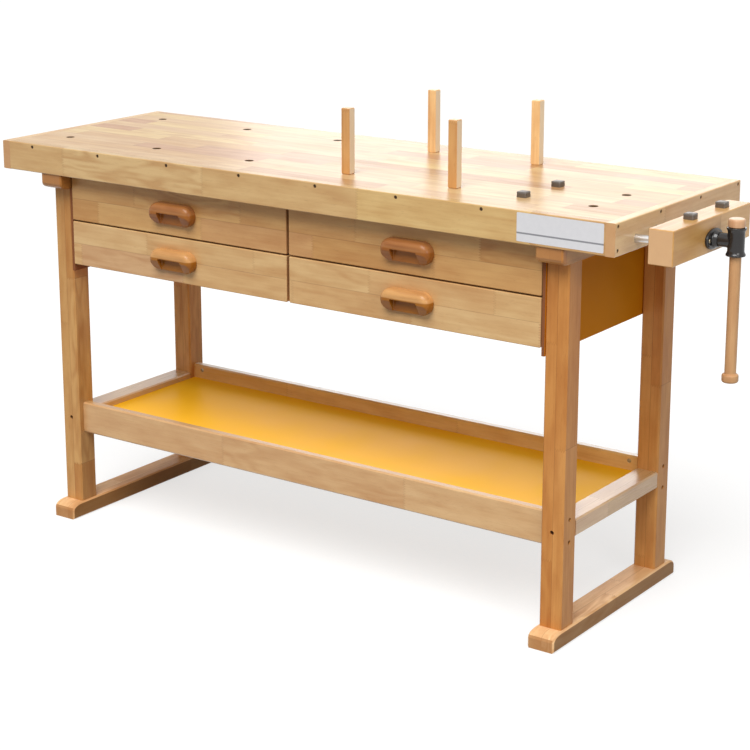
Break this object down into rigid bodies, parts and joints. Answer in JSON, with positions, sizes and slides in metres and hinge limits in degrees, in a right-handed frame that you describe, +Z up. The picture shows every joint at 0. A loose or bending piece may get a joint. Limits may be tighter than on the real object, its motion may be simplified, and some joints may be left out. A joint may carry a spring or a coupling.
{
  "type": "woodworking bench",
  "caption": "Wooden workbench with dog holes, drawers, a tray shelf between trestle legs and an end vise whose jaw runs on a screw and guide rods.",
  "frame": {"origin": "on the floor under the middle of the whole object, vise included", "axes": "+X along the bench towards the vise, +Y from the drawer side to the rear, +Z up"},
  "size_m": [1.701, 0.508, 0.984],
  "materials": {
    "pale_wood": "clear satin lacquer on pale rubberwood",
    "tan_wood": "clear satin lacquer on rubberwood",
    "leg_wood": "clear satin lacquer on warmer rubberwood",
    "pull_wood": "gloss brown stain",
    "plain_wood": "bare planed wood",
    "painted_board": "satin yellow paint on thin board",
    "cast_iron": "black semi-gloss paint",
    "bright_steel": "bright drawn steel",
    "dog_steel": "dull grey steel"
  },
  "bodies": {
    "bench": {"top_slab": "pale_wood", "front_edge_board": "tan_wood", "rear_edge_board": "tan_wood", "left_end_board": "tan_wood", "right_end_board": "tan_wood", "left_cross_batten": "plain_wood", "right_cross_batten": "plain_wood", "left_foot": "leg_wood", "left_head_rail": "leg_wood", "left_front_leg": "leg_wood", "left_rear_leg": "leg_wood", "left_stretcher": "leg_wood", "right_foot": "leg_wood", "right_head_rail": "leg_wood", "right_front_leg": "leg_wood", "right_rear_leg": "leg_wood", "right_stretcher": "leg_wood", "shelf_front_rail": "tan_wood", "shelf_rear_rail": "tan_wood", "shelf_panel": "painted_board", "case_left_side": "painted_board", "case_right_side": "painted_board", "case_divider": "plain_wood", "case_back": "painted_board", "vise_nut": "bright_steel"},
    "upper_left_drawer": {"upper_left_drawer_front": "tan_wood", "upper_left_drawer_pull": "pull_wood", "upper_left_drawer_box": "plain_wood", "upper_left_drawer_bottom": "plain_wood"},
    "upper_right_drawer": {"upper_right_drawer_front": "tan_wood", "upper_right_drawer_pull": "pull_wood", "upper_right_drawer_box": "plain_wood", "upper_right_drawer_bottom": "plain_wood"},
    "lower_left_drawer": {"lower_left_drawer_front": "tan_wood", "lower_left_drawer_pull": "pull_wood", "lower_left_drawer_box": "plain_wood", "lower_left_drawer_bottom": "plain_wood"},
    "lower_right_drawer": {"lower_right_drawer_front": "tan_wood", "lower_right_drawer_pull": "pull_wood", "lower_right_drawer_box": "plain_wood", "lower_right_drawer_bottom": "plain_wood"},
    "jaw": {"vise_jaw": "tan_wood", "vise_front_guide_rod": "bright_steel", "vise_rear_guide_rod": "bright_steel", "vise_flange": "cast_iron"},
    "screw": {"vise_screw": "bright_steel", "vise_thrust_collar": "bright_steel", "vise_handle_socket": "cast_iron"},
    "handle": {"vise_handle_bar": "leg_wood", "vise_handle_knob": "pale_wood"},
    "front_left_peg": {"front_left_peg": "pale_wood"},
    "front_right_peg": {"front_right_peg": "pale_wood"},
    "rear_left_peg": {"rear_left_peg": "pale_wood"},
    "rear_right_peg": {"rear_right_peg": "pale_wood"},
    "front_bench_dog": {"front_bench_dog": "dog_steel"},
    "rear_bench_dog": {"rear_bench_dog": "dog_steel"},
    "front_jaw_dog": {"front_jaw_dog": "dog_steel"},
    "rear_jaw_dog": {"rear_jaw_dog": "dog_steel"}
  },
  "joints": [
    {"name": "upper_left_drawer_slide", "type": "slide", "parent": "bench", "child": "upper_left_drawer", "axis": [0, -1, 0], "range_m": [0, 0.3]},
    {"name": "upper_right_drawer_slide", "type": "slide", "parent": "bench", "child": "upper_right_drawer", "axis": [0, -1, 0], "range_m": [0, 0.3]},
    {"name": "lower_left_drawer_slide", "type": "slide", "parent": "bench", "child": "lower_left_drawer", "axis": [0, -1, 0], "range_m": [0, 0.3]},
    {"name": "lower_right_drawer_slide", "type": "slide", "parent": "bench", "child": "lower_right_drawer", "axis": [0, -1, 0], "range_m": [0, 0.3]},
    {"name": "jaw_slide", "type": "slide", "parent": "bench", "child": "jaw", "axis": [1, 0, 0], "range_m": [-0.0625, 0.08]},
    {"name": "screw_turn", "type": "hinge", "parent": "jaw", "child": "screw", "pos_m": [0.8325, -0.097, 0.811], "axis": [1, 0, 0], "range_deg": [-4500, 5760]},
    {"name": "handle_slide", "type": "slide", "parent": "screw", "child": "handle", "axis": [0, 0, 1], "range_m": [0, 0.2194]},
    {"name": "front_left_peg_lift", "type": "slide", "parent": "bench", "child": "front_left_peg", "axis": [0, 0, 1], "range_m": [0, 0.024]},
    {"name": "front_right_peg_lift", "type": "slide", "parent": "bench", "child": "front_right_peg", "axis": [0, 0, 1], "range_m": [0, 0.024]},
    {"name": "rear_left_peg_lift", "type": "slide", "parent": "bench", "child": "rear_left_peg", "axis": [0, 0, 1], "range_m": [0, 0.024]},
    {"name": "rear_right_peg_lift", "type": "slide", "parent": "bench", "child": "rear_right_peg", "axis": [0, 0, 1], "range_m": [0, 0.024]},
    {"name": "front_bench_dog_lift", "type": "slide", "parent": "bench", "child": "front_bench_dog", "axis": [0, 0, 1], "range_m": [0, 0.024]},
    {"name": "rear_bench_dog_lift", "type": "slide", "parent": "bench", "child": "rear_bench_dog", "axis": [0, 0, 1], "range_m": [0, 0.024]},
    {"name": "front_jaw_dog_lift", "type": "slide", "parent": "jaw", "child": "front_jaw_dog", "axis": [0, 0, 1], "range_m": [0, 0.024]},
    {"name": "rear_jaw_dog_lift", "type": "slide", "parent": "jaw", "child": "rear_jaw_dog", "axis": [0, 0, 1], "range_m": [0, 0.024]}
  ],
  "couplings": [
    {"joint": "jaw_slide", "follows": "screw_turn", "m_per_rad": 0.00079577}
  ]
}
